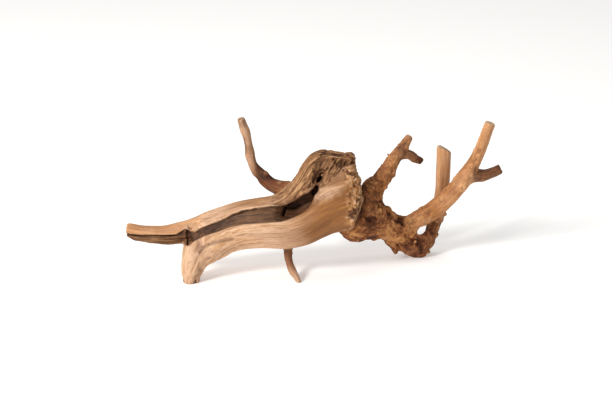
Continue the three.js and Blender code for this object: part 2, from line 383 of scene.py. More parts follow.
# Outlines on the leaning plane, (across, up) in millimetres.
CRACK_LINE = [
    (-228.5, 48.0), (-221.5, 46.0), (-209.5, 45.0), (-191.5, 45.0), (-174.0, 45.0), (-166.5, 45.5),
    (-160.5, 49.0), (-155.0, 52.5), (-149.0, 49.5), (-143.5, 50.0), (-134.5, 55.0), (-125.5, 59.0),
    (-114.0, 62.5), (-99.5, 70.0), (-89.0, 74.5), (-76.0, 77.0), (-55.5, 80.0), (-45.0, 80.5),
    (-36.0, 82.0), (-28.0, 85.0), (-21.0, 90.0), (-14.0, 94.0), (-8.0, 97.0), (-4.5, 101.0),
]
LIP_LINE = [
    (-153.0, 30.5), (-143.5, 37.5), (-132.5, 43.0), (-114.0, 49.0), (-101.0, 54.0), (-85.5, 57.0),
    (-70.0, 58.0), (-55.5, 59.0), (-41.5, 60.0), (-33.0, 62.5), (-25.5, 65.5), (-18.5, 69.0),
    (-11.5, 73.0), (-7.5, 77.0), (-4.0, 82.5), (-1.5, 88.5), (0.5, 95.0), (2.0, 99.5),
]
BOWL_LINE = [
    (2.0, 99.5), (6.0, 100.5), (10.0, 102.0), (17.5, 107.0), (25.0, 114.5), (28.5, 119.5),
    (32.5, 124.5), (36.0, 126.0), (40.0, 127.0), (45.5, 128.5),
]
BOWL_TOP = [
    (47.0, 135.0), (34.0, 137.0), (22.0, 139.0), (14.0, 138.5), (6.5, 134.5), (3.0, 128.5),
    (1.0, 120.0), (-1.0, 110.5), (-2.0, 102.5),
]
VALLEY_LINE = [
    (14.0, 143.5), (11.0, 139.0), (6.5, 134.0), (3.5, 128.5), (2.0, 120.0), (0.5, 111.0),
    (-1.0, 103.0),
]
CREST_OUTLINE = [(-90.0, 170.0), (-80.0, 100.0), (-76.0, 77.0)] + CRACK_LINE[16:] + BOWL_LINE + [
    (52.0, 131.0), (62.0, 170.0),
]
RIM_LINE = [
    (45.0, 130.0), (48.0, 120.0), (52.0, 111.5), (54.0, 102.5), (56.0, 91.5), (56.5, 83.0),
    (54.5, 72.5), (50.5, 64.0),
]
RIM_EDGE = [
    (20.0, 20.0), (32.0, 44.0), (38.5, 49.5), (45.5, 55.5), (50.0, 66.5), (53.5, 75.0), (54.5, 84.0),
    (54.0, 98.5), (52.0, 111.5), (47.5, 120.5), (45.5, 131.0), (44.5, 150.0),
]
CREASE_LINE = [
    (-138.0, 24.5), (-134.5, 30.0), (-128.5, 33.0), (-120.0, 35.5), (-109.5, 38.0), (-98.5, 40.0),
]

# How deep the channel is at each place across.
CHANNEL_DEPTH = [
    (-155, 3.0), (-140, 4.5), (-110, 5.0), (-60, 5.5), (-40, 6.5), (-25, 7.0), (5, 7.0),
]

# How round the edge of the broken rim is on each stem it ends, and the edge of every other end.
RIM_ROUNDING = {"trunk": 3.0, "crest": 1.2, "crest_bowl": 1.2, "crest_horn": 1.0}
END_ROUNDING = 1.0

# Slope of the short fibres in the bowl.
BOWL_GRAIN = math.radians(62)

# Box round the channel, the valley, the bowl and the pits, in station coordinates.
HOLLOWS_LOW = np.array([-160.0, -70.0, 25.0])
HOLLOWS_HIGH = np.array([60.0, 8.0, 150.0])

# The egg-shaped pocket where the channel runs in under the crest: its middle, half sizes and the
# rise of its long axis.
POCKET_CENTRE = np.array([-15.0, -38.0, 92.0])
POCKET_SIZE = np.array([18.0, 16.0, 10.5])
POCKET_RISE = 0.45

# Knots and nubs: across, up, radius, height, width of the scar in the middle (0 for none) and
# how pale that scar is.
KNOTS = [
    (112.0, 61.5, 7.0, 2.6, 2.4, 0.0),
    (136.5, 64.0, 4.0, 1.2, 1.4, 1.0),
    (131.0, 60.5, 3.5, 1.4, 1.2, 1.0),
    (149.5, 88.0, 6.0, 1.2, 2.2, 0.6),
    (175.5, 101.5, 5.5, 2.2, 1.8, 1.0),
    (157.0, 69.0, 4.0, 3.0, 0.0, 0.0),
    (185.5, 126.5, 5.0, 1.4, 1.4, 0.3),
    (194.5, 139.5, 4.0, 1.6, 1.3, 1.0),
    (188.5, 146.5, 3.5, 1.6, 0.0, 0.0),
    (66.5, 109.5, 5.5, 2.4, 2.6, 0.0),
    (76.0, 118.0, 4.0, 1.6, 0.0, 0.0),
    (93.5, 118.5, 3.5, 1.8, 0.0, 0.0),
    (85.0, 101.5, 3.5, 2.0, 0.0, 0.0),
    (95.5, 138.0, 5.0, 1.4, 1.6, 0.7),
    (146.0, 43.0, 3.5, 2.6, 0.0, 0.0),
    (87.0, 77.5, 3.5, 2.4, 0.0, 0.0),
    (93.0, 70.5, 3.0, 2.0, 0.0, 0.0),
    (125.0, 77.5, 3.0, 2.6, 0.0, 0.0),
    (-27.5, 24.5, 2.5, 2.2, 0.0, 0.0),
    (-43.5, 108.0, 6.0, 1.6, 2.8, 0.5),
    (-58.0, 119.0, 5.0, 1.8, 0.0, 0.0),
    (-156.0, 35.5, 2.6, 1.6, 0.0, 0.0),
]

# Slanted ovals: across, up, half length, half width, turn. The pits also have a depth: the bore
# beside the crest, the sunken end of the channel below it, and the slit and shadowed hollow
# where the channel runs in under the crest.
PITS = [
    ((4.5, 111.5, 4.2, 2.3, math.radians(48)), 9.0),
    ((0.0, 98.5, 6.0, 3.4, math.radians(62)), 6.0),
    ((-37.5, 72.5, 5.5, 1.6, math.radians(78)), 3.5),
    ((-26.0, 80.5, 8.5, 4.0, math.radians(15)), 4.5),
]
GAP_BETWEEN_ARMS = (126.0, 50.0, 5.6, 3.6, math.radians(38))
GAP_LOW = np.array([105.0, -20.0, 10.0])
GAP_HIGH = np.array([150.0, 75.0, 90.0])

# ---- sampling ---------------------------------------------------------------------------------


def smooth(low, high, value):
    """0 at low, 1 at high, eased between them."""
    t = np.clip((value - low) / (high - low), 0.0, 1.0)
    return t * t * (3.0 - 2.0 * t)


def through_points(points, steps):
    """Smooth line through the rows of points, with a fixed number of steps between neighbours."""
    rows = np.vstack([2 * points[0] - points[1], points, 2 * points[-1] - points[-2]])
    samples = []
    for a, b, c, d in zip(rows, rows[1:], rows[2:], rows[3:]):
        t = np.arange(steps)[:, None] / steps
        samples.append(0.5 * (2 * b + (c - a) * t + (2 * a - 5 * b + 4 * c - d) * t**2
                              + (3 * b - a - 3 * c + d) * t**3))
    samples.append(points[-1:])
    return np.vstack(samples)


def hashed(ix, iy, iz, seed):
    """Repeatable value from 0 to 1 for each whole-number cell."""
    n = (ix * 374761393 + iy * 668265263 + iz * 1274126177 + seed * 974634777) & 0xFFFFFFFF
    n = ((n ^ (n >> 13)) * 1103515245) & 0xFFFFFFFF
    n = ((n ^ (n >> 15)) * 747796405) & 0xFFFFFFFF
    return ((n ^ (n >> 16)) & 0xFFFFFF) / float(0xFFFFFF)


def noise(points, seed):
    """Smooth noise from -1 to 1 with a feature size of one unit."""
    cell = np.floor(points).astype(np.int64)
    part = points - cell
    part = part * part * part * (part * (part * 6 - 15) + 10)
    total = np.zeros(len(points))
    for dx in (0, 1):
        for dy in (0, 1):
            for dz in (0, 1):
                weight = ((part[:, 0] if dx else 1 - part[:, 0])
                          * (part[:, 1] if dy else 1 - part[:, 1])
                          * (part[:, 2] if dz else 1 - part[:, 2]))
                total += weight * hashed(cell[:, 0] + dx, cell[:, 1] + dy, cell[:, 2] + dz, seed)
    return 2 * total - 1


def cell_distance(points, seed):
    """Distance to the nearest and second nearest scattered seed, about one seed per unit cube."""
    base = np.floor(points).astype(np.int64)
    first = np.full(len(points), 9.0)
    second = np.full(len(points), 9.0)
    for dx in (-1, 0, 1):
        for dy in (-1, 0, 1):
            for dz in (-1, 0, 1):
                cx, cy, cz = base[:, 0] + dx, base[:, 1] + dy, base[:, 2] + dz
                gap = np.stack([cx + hashed(cx, cy, cz, seed), cy + hashed(cx, cy, cz, seed + 1),
                                cz + hashed(cx, cy, cz, seed + 2)], 1) - points
                far = np.sqrt((gap * gap).sum(1))
                second = np.minimum(second, np.maximum(first, far))
                first = np.minimum(first, far)
    return first, second


def line_distance(across, up, line):
    """Distance in the leaning plane to an open line."""
    best = np.full(len(across), 1e9)
    for (ax, ay), (bx, by) in zip(line, line[1:]):
        dx, dy = bx - ax, by - ay
        t = np.clip(((across - ax) * dx + (up - ay) * dy) / (dx * dx + dy * dy), 0, 1)
        best = np.minimum(best, (across - ax - t * dx) ** 2 + (up - ay - t * dy) ** 2)
    return np.sqrt(best)


def inside(across, up, outline):
    """Whether each point of the leaning plane is inside a closed outline."""
    crossings = np.zeros(len(across), bool)
    for (ax, ay), (bx, by) in zip(outline, outline[1:] + outline[:1]):
        if ay == by:
            continue
        straddles = (ay > up) != (by > up)
        crossings ^= straddles & (across < ax + (up - ay) * (bx - ax) / (by - ay))
    return crossings


def oval(across, up, shape):
    """1 on the edge of a slanted oval of the leaning plane, less inside and more outside."""
    centre_across, centre_up, long, short, turn = shape
    dx, dy = across - centre_across, up - centre_up
    return np.hypot((dx * math.cos(turn) + dy * math.sin(turn)) / long,
                    (dy * math.cos(turn) - dx * math.sin(turn)) / short)


def on_leaning_plane(points):
    """Across and up coordinates of the points as seen from the sight point."""
    ray = points - SIGHT_POINT
    scale = SIGHT_DISTANCE / (ray @ THROUGH)
    return ray[:, 0] * scale + SIGHT_TARGET[0] - CENTRE[0], (ray @ UPWARD) * scale + SIGHT_TARGET[2]


# ---- limbs ------------------------------------------------------------------------------------

# Samples of the middle line between neighbouring stations.
STEPS_PER_STATION = 8

# Points measured against a limb at a time.
MEASURING_BATCH = 100000


class Limb:
    """A tapering stem with elliptical sections along a smooth middle line."""

    def __init__(self, name, grown):
        spec = LIMBS[name]
        stations = np.array(spec["stations"], float)
        self.name = name
        self.join = spec["join"]
        self.middle = through_points(stations[:, :3], STEPS_PER_STATION)
        self.widths = through_points(stations[:, 3:], STEPS_PER_STATION)
        steps = np.linalg.norm(np.diff(self.middle, axis=0), axis=1)
        self.along = np.concatenate([[0.0], np.cumsum(steps)])
        self.length = steps.sum()
        tangent = np.gradient(self.middle, axis=0)
        self.tangent = tangent / np.linalg.norm(tangent, axis=1)[:, None]
        side = THROUGH - (self.tangent @ THROUGH)[:, None] * self.tangent
        self.side = side / np.linalg.norm(side, axis=1)[:, None]
        self.up = np.cross(self.tangent, self.side)
        self.taper = np.gradient(self.widths, axis=0) / np.gradient(self.along)[:, None]
        self.cuts = [(np.array(p), np.array(n) / np.linalg.norm(n)) for p, n in CUTS.get(name, [])]
        self.rimmed = name in RIM_ROUNDING
        if "parent" in spec:
            self.continue_grain(grown[spec["parent"]], spec["rooted_at"])

    def continue_grain(self, parent, station):
        """Starts the distance along the limb where the parent's stands at the joint."""
        place = parent.measure(self.middle[[station]])[2]
        self.along += place[0, 0] - self.along[station]

    def reach(self, margin):
        """Low and high corner of the limb's box, with a margin."""
        pad = self.widths.max() + margin
        return self.middle.min(0) - pad, self.middle.max(0) + pad

    def amount(self, colouring, along):
        """How much bark, warm or brown the limb carries at distances along it."""
        at, amount = zip(*LIMBS[self.name].get(colouring, [(0, 0)]))
        return np.interp((along - self.along[0]) / self.length, at, amount)

    def nearest(self, points):
        """Index of the closest sample of the middle line to each point."""
        found = np.empty(len(points), np.int64)
        squares = (self.middle**2).sum(1)
        for first in range(0, len(points), MEASURING_BATCH):
            block = points[first:first + MEASURING_BATCH]
            found[first:first + len(block)] = (squares - 2 * block @ self.middle.T).argmin(1)
        return found

    def measure(self, points):
        """Distance to the skin, distance to an end, and (along, up, side) place of each point."""
        nearest = self.nearest(points)
        offset = points - self.middle[nearest]
        ahead = (offset * self.tangent[nearest]).sum(1)
        up = (offset * self.up[nearest]).sum(1)
        side = (offset * self.side[nearest]).sum(1)
        slope = np.clip(ahead, -2.5, 2.5)[:, None]
        width = np.maximum(self.widths[nearest] + self.taper[nearest] * slope, 0.5)
        radius = np.sqrt(up * up + side * side) + 1e-6
        stretch = np.sqrt((up / width[:, 0]) ** 2 + (side / width[:, 1]) ** 2) + 1e-6
        skin = np.where(stretch > 0.15, radius * (1 - 1 / stretch), -width.min(1))
        last = len(self.middle) - 1
        beyond = np.where(nearest == 0, -ahead, np.where(nearest == last, ahead, -99.0))
        for point, normal in self.cuts:
            beyond = np.maximum(beyond, (points - point) @ normal)
        if self.rimmed:
            beyond = np.maximum(beyond, beyond_rim(points))
        place = np.stack([self.along[nearest] + ahead, up, side], 1)
        return rounded_corner(skin, beyond, RIM_ROUNDING.get(self.name, END_ROUNDING)), beyond, place


def beyond_rim(points):
    """How far the points lie past the broken rim at the right end of the trunk."""
    across, up = on_leaning_plane(points)
    edge, level = zip(*RIM_EDGE)
    ragged = 2.0 * noise(points / 10.0, 51) + 1.0 * noise(points / 4.5, 52)
    return across - np.interp(up, level, edge) + ragged


def rounded_corner(a, b, radius):
    """Overlap of two half-spaces with a rounded edge."""
    over = np.sqrt(np.maximum(a + radius, 0) ** 2 + np.maximum(b + radius, 0) ** 2)
    return over + np.minimum(np.maximum(a + radius, b + radius), 0) - radius


def grow_limbs():
    """All limbs, each after the one it grows out of."""
    grown = {}
    for name in LIMBS:
        grown[name] = Limb(name, grown)
    return list(grown.values())


def blend(a, b, width):
    """Union of two distances with a soft join."""
    mix = np.maximum(width - np.abs(a - b), 0) / width
    return np.minimum(a, b) - mix * mix * width / 4


# ---- surface character ------------------------------------------------------------------------


class Survey:
    """Everything the carving and the finish need to know about a set of points."""

    def __init__(self, limbs, points):
        count = len(points)
        self.points = points
        self.across, self.up = on_leaning_plane(points)
        self.owner = np.zeros(count, np.int64)
        self.grain = np.zeros((count, 3))
        self.bark = np.zeros(count)
        self.warm = np.zeros(count)
        self.brown = np.zeros(count)
        self.end = np.zeros(count)
        self.share = np.zeros((len(limbs), count), np.float32)
        total = np.full(count, 1e-9)
        best = np.full(count, 1e9)
        for index, limb in enumerate(limbs):
            low, high = limb.reach(9)
            near = np.flatnonzero(((points > low) & (points < high)).all(1))
            skin, beyond, place = limb.measure(points[near])
            weight = np.exp(-skin / 2.0)
            total[near] += weight
            self.grain[near] += weight[:, None] * place
            self.bark[near] += weight * limb.amount("bark", place[:, 0])
            self.warm[near] += weight * limb.amount("warm", place[:, 0])
            self.brown[near] += weight * limb.amount("brown", place[:, 0])
            self.end[near] += 0 if limb.rimmed else weight * smooth(-1.3, -0.5, beyond)
            self.share[index, near] = weight
            closer = near[skin < best[near]]
            self.owner[closer] = index
            best[near] = np.minimum(best[near], skin)
        self.grain /= total[:, None]
        self.bark /= total
        self.warm /= total
        self.brown /= total
        self.end /= total
        self.share /= total.astype(np.float32)
        self.names = [limb.name for limb in limbs]
        self.front = smooth(4.0, -6.0, self.grain[:, 2])
        self.mark_zones()
        self.turn_grain(limbs[self.names.index("crest")])

    def turn_grain(self, crest):
        """Runs the grain along the crest's own stem, up and over in the bowl and up the rim's end."""
        rows = np.flatnonzero((self.crest > 0.4) & (self.channel < 0.5))
        own = crest.measure(self.points[rows])[2]
        rise = self.across[rows] * math.cos(BOWL_GRAIN) + self.up[rows] * math.sin(BOWL_GRAIN)
        over = self.up[rows] * math.cos(BOWL_GRAIN) - self.across[rows] * math.sin(BOWL_GRAIN)
        turned = np.stack([rise, over, self.points[rows] @ THROUGH], 1)
        share = (self.bowl[rows] > 0.2)[:, None]
        self.grain[rows] = np.where(share, turned, own)
        rows = np.flatnonzero(self.broken_rim > 0.5)
        broken = self.points[rows]
        self.grain[rows] = np.stack([broken @ UPWARD, broken @ THROUGH, self.across[rows]], 1)

    def of(self, *names):
        """How much each point belongs to the named limbs."""
        return sum(self.share[self.names.index(name)] for name in names)

    def mark_zones(self):
        """Channel, crest, bowl, rim and weathered underside, each from 0 to 1."""
        across, up, points = self.across, self.up, self.points
        ragged = 1.3 * noise(points / 5.0, 11) + 0.6 * noise(points / 2.2, 12)
        crack = line_distance(across, up, CRACK_LINE[7:])
        lip = line_distance(across, up, LIP_LINE)
        channel = inside(across, up, CRACK_LINE[7:] + LIP_LINE[::-1])
        self.channel = channel * smooth(0.0, 1.4, lip) * smooth(-0.3, 2.2, crack + 0.4 * ragged)
        self.channel *= self.front
        edge = line_distance(across, up, BOWL_LINE)
        self.pale_edge = smooth(21.0, 6.0, edge + 2 * ragged)
        crest = inside(across, up, CREST_OUTLINE)
        inward = np.minimum(line_distance(across, up, CREST_OUTLINE), 30) * np.where(crest, 1, -1)
        lead_in = smooth(-72.0, -34.0, across + 5 * ragged)
        self.crest = smooth(-0.6, 1.0, inward + 0.5 * ragged) * lead_in * (1 - self.of("snag"))
        bowl = inside(across, up, BOWL_LINE + BOWL_TOP)
        ledge = line_distance(across, up, BOWL_TOP)
        self.bowl = bowl * smooth(0.0, 2.5, edge) * smooth(0.0, 6.0, ledge + ragged) * self.front
        valley = line_distance(across, up, VALLEY_LINE)
        self.valley = smooth(6.0, 0.5, valley + ragged) * self.front * (self.crest > 0.3)
        rim = line_distance(across, up, RIM_LINE)
        self.rim = smooth(23.0, 6.0, rim + 4 * ragged) * self.of("trunk") * (1 - self.crest)
        # Strip of the root just past the broken rim: carved in a little and painted as the rim's
        # shadow.
        under_rim = smooth(9.0, 0.5, beyond_rim(points) + ragged) * smooth(45.0, 65.0, up)
        self.broken_rim = smooth(-2.5, 0.5, beyond_rim(points)) * self.of(*RIM_ROUNDING)
        self.under_rim = under_rim * self.of("root_mass", "arm_left") * self.front
        above_crack = up - np.interp(across, *zip(*CRACK_LINE))
        self.top_band = smooth(0.0, 4.0, above_crack) * smooth(-128.0, -70.0, across)
        below = -above_crack
        outer = self.of("left_limb") + self.of("heel", "foot", "trunk") * smooth(31.0, 35.0, up)
        outer *= smooth(-147.0, -153.0, across)
        self.underside = outer * smooth(-0.4, 0.6, below) * smooth(12.0, 4.0, self.grain[:, 2])
        # The crack along the left limb and the crease where the foot meets the trunk are carved in
        # and later painted with shade.
        self.crack = outer * smooth(1.4, 0.3, np.abs(below - 0.5)) * self.front
        self.crease = smooth(3.0, 0.4, line_distance(across, up, CREASE_LINE)) * self.front


def ridged(grain, long, wide, seed):
    """Ridges that run along the grain, from -1 in the grooves to 1 on the crests."""
    return 1 - 2 * np.abs(noise(grain / np.array([long, wide, wide]), seed))


def fibre_pattern(survey):
    """Twisted cords of weathered fibre, from -1 in the clefts to 1 on the backs."""
    sway = 3.0 * noise(survey.points / 24.0, 21) + 1.4 * noise(survey.points / 9.0, 25)
    grain = survey.grain + sway[:, None] * np.array([0.0, 1.0, 1.0])
    return (0.34 * ridged(grain, 70.0, 8.0, 22) + 0.38 * ridged(grain, 32.0, 4.2, 23)
            + 0.28 * ridged(grain, 13.0, 2.4, 24))


def bark_pattern(grain, points):
    """Gnarled bark: long lumps with grooves and pits between them, from -1 to 1."""
    grain = grain + noise(points / 9.0, 31)[:, None] * 2.5
    return (0.45 * noise(grain / np.array([15.0, 7.0, 7.0]), 32) + 0.35 * ridged(grain, 11.0, 4.2, 33)
            + 0.25 * noise(points / 2.2, 34))


def nodule_pattern(points, size, seed):
    """Scattered round nodules, 0 between them and 1 on top."""
    first, _ = cell_distance(points / size, seed)
    return smooth(0.62, 0.10, first)


def add_bark(survey, detail, cleft_shade):
    """Root bark with scattered nubs, and the knobbly rim at the right end of the trunk."""
    survey.rim = np.maximum(survey.rim, 0.3 * survey.broken_rim)
    rows = np.flatnonzero((survey.bark > 0.02) | (survey.rim > 0.02))
    points, bark, rim = survey.points[rows], survey.bark[rows], survey.rim[rows]
    gnarl = bark_pattern(survey.grain[rows], points)
    nubs = smooth(0.30, 0.05, cell_distance(points / 13.0, 35)[0])
    nubs += 0.2 * nodule_pattern(points, 6.0, 39)
    lumps = (0.7 * noise(points / 7.0, 36) + 0.4 * nodule_pattern(points, 4.5, 38)
             + 0.7 * noise(points / 2.6, 37) - 0.15)
    rise = 1.5 * gnarl + 2.8 * nubs + 1.3 * noise(points / 13.0, 6)
    detail[rows] += bark * np.minimum(rise, 4.6)
    detail[rows] += rim * 1.5 * lumps
    # The clefts between the bark lumps and between the rim's lumps get painted shade.
    cleft_shade[rows] = np.maximum(bark * smooth(-0.2, -0.8, gnarl), 0.8 * rim * smooth(-0.3, -1.2, lumps))


def add_knots(survey, detail, cleft_shade):
    """Knots and nubs, some with a scar in the middle."""
    uneven = 1.1 * noise(survey.points / 3.2, 8) + 0.5 * noise(survey.points / 1.5, 57)
    for across, up, radius, rise, scar, pale in KNOTS:
        far = np.hypot(survey.across - across, survey.up - up) + uneven
        far = np.where(survey.front > 0.05, far, 99.0)
        detail += rise * smooth(radius, 0.25 * radius, far) * survey.front
        if scar:
            detail -= 0.7 * rise * smooth(scar * 1.2, 0.3 * scar, far) * survey.front
            # The dark ring round a scarred knot lies on its lower side: painted shade under the
            # raised collar.
            below = smooth(0.6 * radius, -0.4 * radius, survey.up - up)
            ring = smooth(1.3, 0.2, np.abs(far - 1.4 * scar)) * below
            cleft_shade[:] = np.maximum(cleft_shade, (0.8 - 0.4 * pale) * ring * survey.front)
            survey.end = np.maximum(survey.end, 0.6 * pale * smooth(scar, 0.3 * scar, far))


def relief(survey):
    """Height of the skin above the plain limbs, mm; also notes the hollows, the clefts and low places
    that get painted shade, and the high places that are lightened, partly as wear and partly as
    painted highlight.
    """
    grain, points = survey.grain, survey.points
    detail = 0.35 * noise(grain / np.array([80.0, 7.0, 7.0]), 1)
    detail += 0.20 * noise(grain / np.array([30.0, 2.4, 2.4]), 2)
    cleft_shade = np.zeros(len(points))
    add_bark(survey, detail, cleft_shade)
    add_knots(survey, detail, cleft_shade)

    fibre = fibre_pattern(survey)
    rough = np.maximum.reduce([survey.crest, 0.5 * survey.underside, 0.7 * survey.broken_rim])
    detail += rough * 2.8 * fibre
    detail += survey.of("snag") * 1.3 * noise(points / 11.0, 56)
    # The clefts between the weathered fibres get painted shade.
    cleft_shade = np.maximum(cleft_shade, rough * smooth(0.05, -0.6, fibre))

    foot = survey.of("foot", "heel")
    detail += foot * 0.8 * ridged(grain, 45.0, 5.5, 7)
    split = smooth(0.0, 0.7, noise(grain / np.array([60.0, 4.5, 4.5]), 9))
    broken = foot * smooth(9.0, 0.0, points[:, 2]) * split
    detail -= 2.4 * broken

    height = detail + 0.5 * noise(points / 26.0, 3)
    height -= smooth(0.2, 0.9, survey.end) * (0.6 + 0.7 * noise(points / 2.4, 10))
    # The strip past the broken rim is carved in and painted as shadow; the broken rim itself gets a
    # little painted shade.
    height -= 2.5 * survey.under_rim
    cleft_shade = np.maximum(0.25 * survey.broken_rim, cleft_shade * (1 - 0.6 * survey.broken_rim))
    cleft_shade = np.maximum(cleft_shade, survey.under_rim)
    depth = np.interp(survey.across, *zip(*CHANNEL_DEPTH))
    height -= survey.channel * (depth - 0.9 * fibre)
    height -= survey.valley * 3.5
    gouged = smooth(-0.05, 0.4, noise(points / 7.5, 5) + 0.4 * noise(points / 3.0, 58))
    height -= survey.bowl * (2.4 + 2.2 * gouged)
    height -= survey.underside * 1.4 + survey.crack * 2.0 + survey.crease * 1.8
    # The pits are carved in and painted dark as shade.
    sunken = np.zeros(len(points))
    for shape, depth in PITS:
        pit = smooth(1.3, 0.6, oval(survey.across, survey.up, shape)) * survey.front
        height -= depth * pit
        sunken = np.maximum(sunken, pit)

    # The hollows are painted dark, partly as the dark wood inside them and partly as painted shade.
    # This covers the channel, darker towards both ends, the shadowed valley, the bowl's gouges and
    # the pits; the left limb's underside is darkened too.
    shaded = 0.88 + 0.12 * np.maximum(smooth(-95.0, -125.0, survey.across),
                                      smooth(-52.0, -34.0, survey.across))
    survey.hollow = np.clip(survey.channel * shaded + 0.7 * survey.valley + sunken
                            + survey.bowl * (0.15 + 0.7 * gouged) + 0.5 * survey.underside, 0, 1)
    survey.sunken = sunken
    # Relief height from low to high: the finish paints shade into the low places and lightens the
    # high ones, partly as wear and partly as painted highlight.
    survey.worn = smooth(-1.8, 2.2, detail + survey.channel * fibre)
    survey.cleft_shade = np.clip(cleft_shade, 0, 1)
    return height


# ---- meshing ----------------------------------------------------------------------------------

# Clear space round the piece in the grid, and the distance that empty space starts with, mm.
GRID_MARGIN = 4
FAR_OUTSIDE = 12.0

# How far the carving reaches above and below the plain skin, and below it at the hollows, mm.
REACH_ABOVE = 6.5
REACH_BELOW = 5.5
REACH_IN_HOLLOWS = 15

# Distances are kept up to this far from the skin, mm.
FIELD_DEPTH = 6.0

# Grid points that one thread carves at a time.
CARVING_BATCH = 100000

# A skin with fewer faces than this has gone wrong.
FEWEST_FACES = 1000

# Space between neighbouring charts of the bake map, mm. A face belongs to a limb's end when it is
# this close to the end, mm, and points along the limb by more than this cosine.
CHART_GAP = 3.0
END_CAP_DEPTH = 5.0
END_CAP_COSINE = 0.75


def grow_field(limbs, pitch):
    """Signed distance of the smooth, uncarved piece on a grid, with the grid's low corner."""
    low = np.floor(np.min([limb.reach(0)[0] for limb in limbs], axis=0)) - GRID_MARGIN
    high = np.ceil(np.max([limb.reach(0)[1] for limb in limbs], axis=0)) + GRID_MARGIN
    shape = np.ceil((high - low) / pitch).astype(int)
    field = np.full(shape, FAR_OUTSIDE, np.float32)
    for limb in limbs:
        first, last = limb.reach(limb.join + 5)
        a = np.clip(np.floor((first - low) / pitch).astype(int), 0, shape)
        b = np.clip(np.ceil((last - low) / pitch).astype(int), 0, shape)
        axes = [low[k] + pitch * np.arange(a[k], b[k]) for k in range(3)]
        points = np.stack(np.meshgrid(*axes, indexing="ij"), -1).reshape(-1, 3)
        skin = limb.measure(points)[0].reshape(b - a)
        window = field[a[0]:b[0], a[1]:b[1], a[2]:b[2]]
        window[...] = blend(window, skin, limb.join)
    return field, low


def carve_pocket(field, low, pitch):
    """The deep pocket where the channel runs in under the crest."""
    axes = [low[k] + pitch * np.arange(field.shape[k]) for k in range(3)]
    x, y, z = (at - middle for at, middle in
               zip(np.meshgrid(*axes, indexing="ij", sparse=True), POCKET_CENTRE))
    wide, deep, tall = POCKET_SIZE
    egg = np.sqrt((x / wide) ** 2 + (y / deep) ** 2 + ((z - POCKET_RISE * x) / tall) ** 2)
    return -blend(-field, (egg - 1) * POCKET_SIZE.min(), 6.0)


def open_gap(field, low, pitch):
    """The see-through gap between the roots of the right and middle arms."""
    first = ((GAP_LOW - low) / pitch).astype(int)
    last = ((GAP_HIGH - low) / pitch).astype(int)
    axes = [low[k] + pitch * np.arange(first[k], last[k]) for k in range(3)]
    points = np.stack(np.meshgrid(*axes, indexing="ij"), -1).reshape(-1, 3)
    across, up = on_leaning_plane(points)
    tunnel = (oval(across, up, GAP_BETWEEN_ARMS) - 1) * GAP_BETWEEN_ARMS[3]
    window = field[first[0]:last[0], first[1]:last[1], first[2]:last[2]]
    window[...] = -blend(-window, tunnel.reshape(window.shape), 3.0)


def near_skin(field, low, pitch):
    """Grid points that the carving can reach: a thin skin, deeper in front of the hollows."""
    near = (field > -REACH_BELOW) & (field < REACH_ABOVE)
    first = np.maximum(((HOLLOWS_LOW - low) / pitch).astype(int), 0)
    last = ((HOLLOWS_HIGH - low) / pitch).astype(int)
    window = (slice(first[0], last[0]), slice(first[1], last[1]), slice(first[2], last[2]))
    near[window] |= (field[window] > -REACH_IN_HOLLOWS) & (field[window] < 0)
    return near


def build_surface(limbs, pitch):
    """Points, triangles and quads of the finished skin."""
    field, low = grow_field(limbs, pitch)
    field = carve_pocket(field, low, pitch)
    band = np.argwhere(near_skin(field, low, pitch))

    def carve(rows):
        height = relief(Survey(limbs, low + pitch * rows))
        field[tuple(rows.T)] -= height.astype(np.float32)

    with ThreadPoolExecutor() as pool:
        list(pool.map(carve, np.array_split(band, 1 + len(band) // CARVING_BATCH)))
    open_gap(field, low, pitch)
    ground = low[2] + pitch * np.arange(field.shape[2])
    field = np.maximum(field, -ground.astype(np.float32))
    grid = openvdb.FloatGrid(FIELD_DEPTH)
    grid.copyFromArray(np.clip(field, -FIELD_DEPTH, FIELD_DEPTH))
    points, triangles, quads = grid.convertToPolygons(0.0, 0.0)
    return points * pitch + low, triangles, quads


def largest_shell(count, faces):
    """Which points belong to the biggest connected shell."""
    root = np.arange(count)
    edges = np.vstack([faces[:, [k, (k + 1) % faces.shape[1]]] for k in range(faces.shape[1])])
    while True:
        low = np.minimum(root[edges[:, 0]], root[edges[:, 1]])
        before = root.copy()
        np.minimum.at(root, edges[:, 0], low)
        np.minimum.at(root, edges[:, 1], low)
        root = root[root]
        if (root == before).all():
            break
    return root == np.bincount(root, minlength=count).argmax()


def keep_shell(points, triangles, quads):
    """Drops loose crumbs that the carving may leave beside the piece."""
    faces = np.vstack([quads, np.hstack([triangles, triangles[:, 2:]])]) if len(triangles) else quads
    kept = largest_shell(len(points), faces.astype(np.int64))
    renumber = np.cumsum(kept) - 1
    return (points[kept], renumber[triangles[kept[triangles[:, 0]]]] if len(triangles) else triangles,
            renumber[quads[kept[quads[:, 0]]]])


def make_mesh(name, points, triangles, quads):
    """Blender mesh in the row frame from points in station coordinates."""
    mesh = bpy.data.meshes.new(name)
    sizes = np.concatenate([np.full(len(quads), 4), np.full(len(triangles), 3)]).astype(np.int32)
    corners = np.concatenate([quads.ravel(), triangles.ravel()]).astype(np.int32)
    mesh.vertices.add(len(points))
    mesh.vertices.foreach_set("co", ((points - CENTRE) * MM).astype(np.float32).ravel())
    mesh.loops.add(len(corners))
    mesh.loops.foreach_set("vertex_index", corners)
    mesh.polygons.add(len(sizes))
    starts = np.concatenate([[0], np.cumsum(sizes)[:-1]]).astype(np.int32)
    mesh.polygons.foreach_set("loop_start", starts)
    mesh.polygons.foreach_set("use_smooth", np.ones(len(sizes), bool))
    mesh.update(calc_edges=True)
    mesh.validate()
    return mesh


def values_of(items, name, kind, width=1):
    """One property of all faces or corners of a mesh as an array."""
    found = np.empty(len(items) * width, kind)
    items.foreach_get(name, found)
    return found.reshape(-1, width) if width > 1 else found


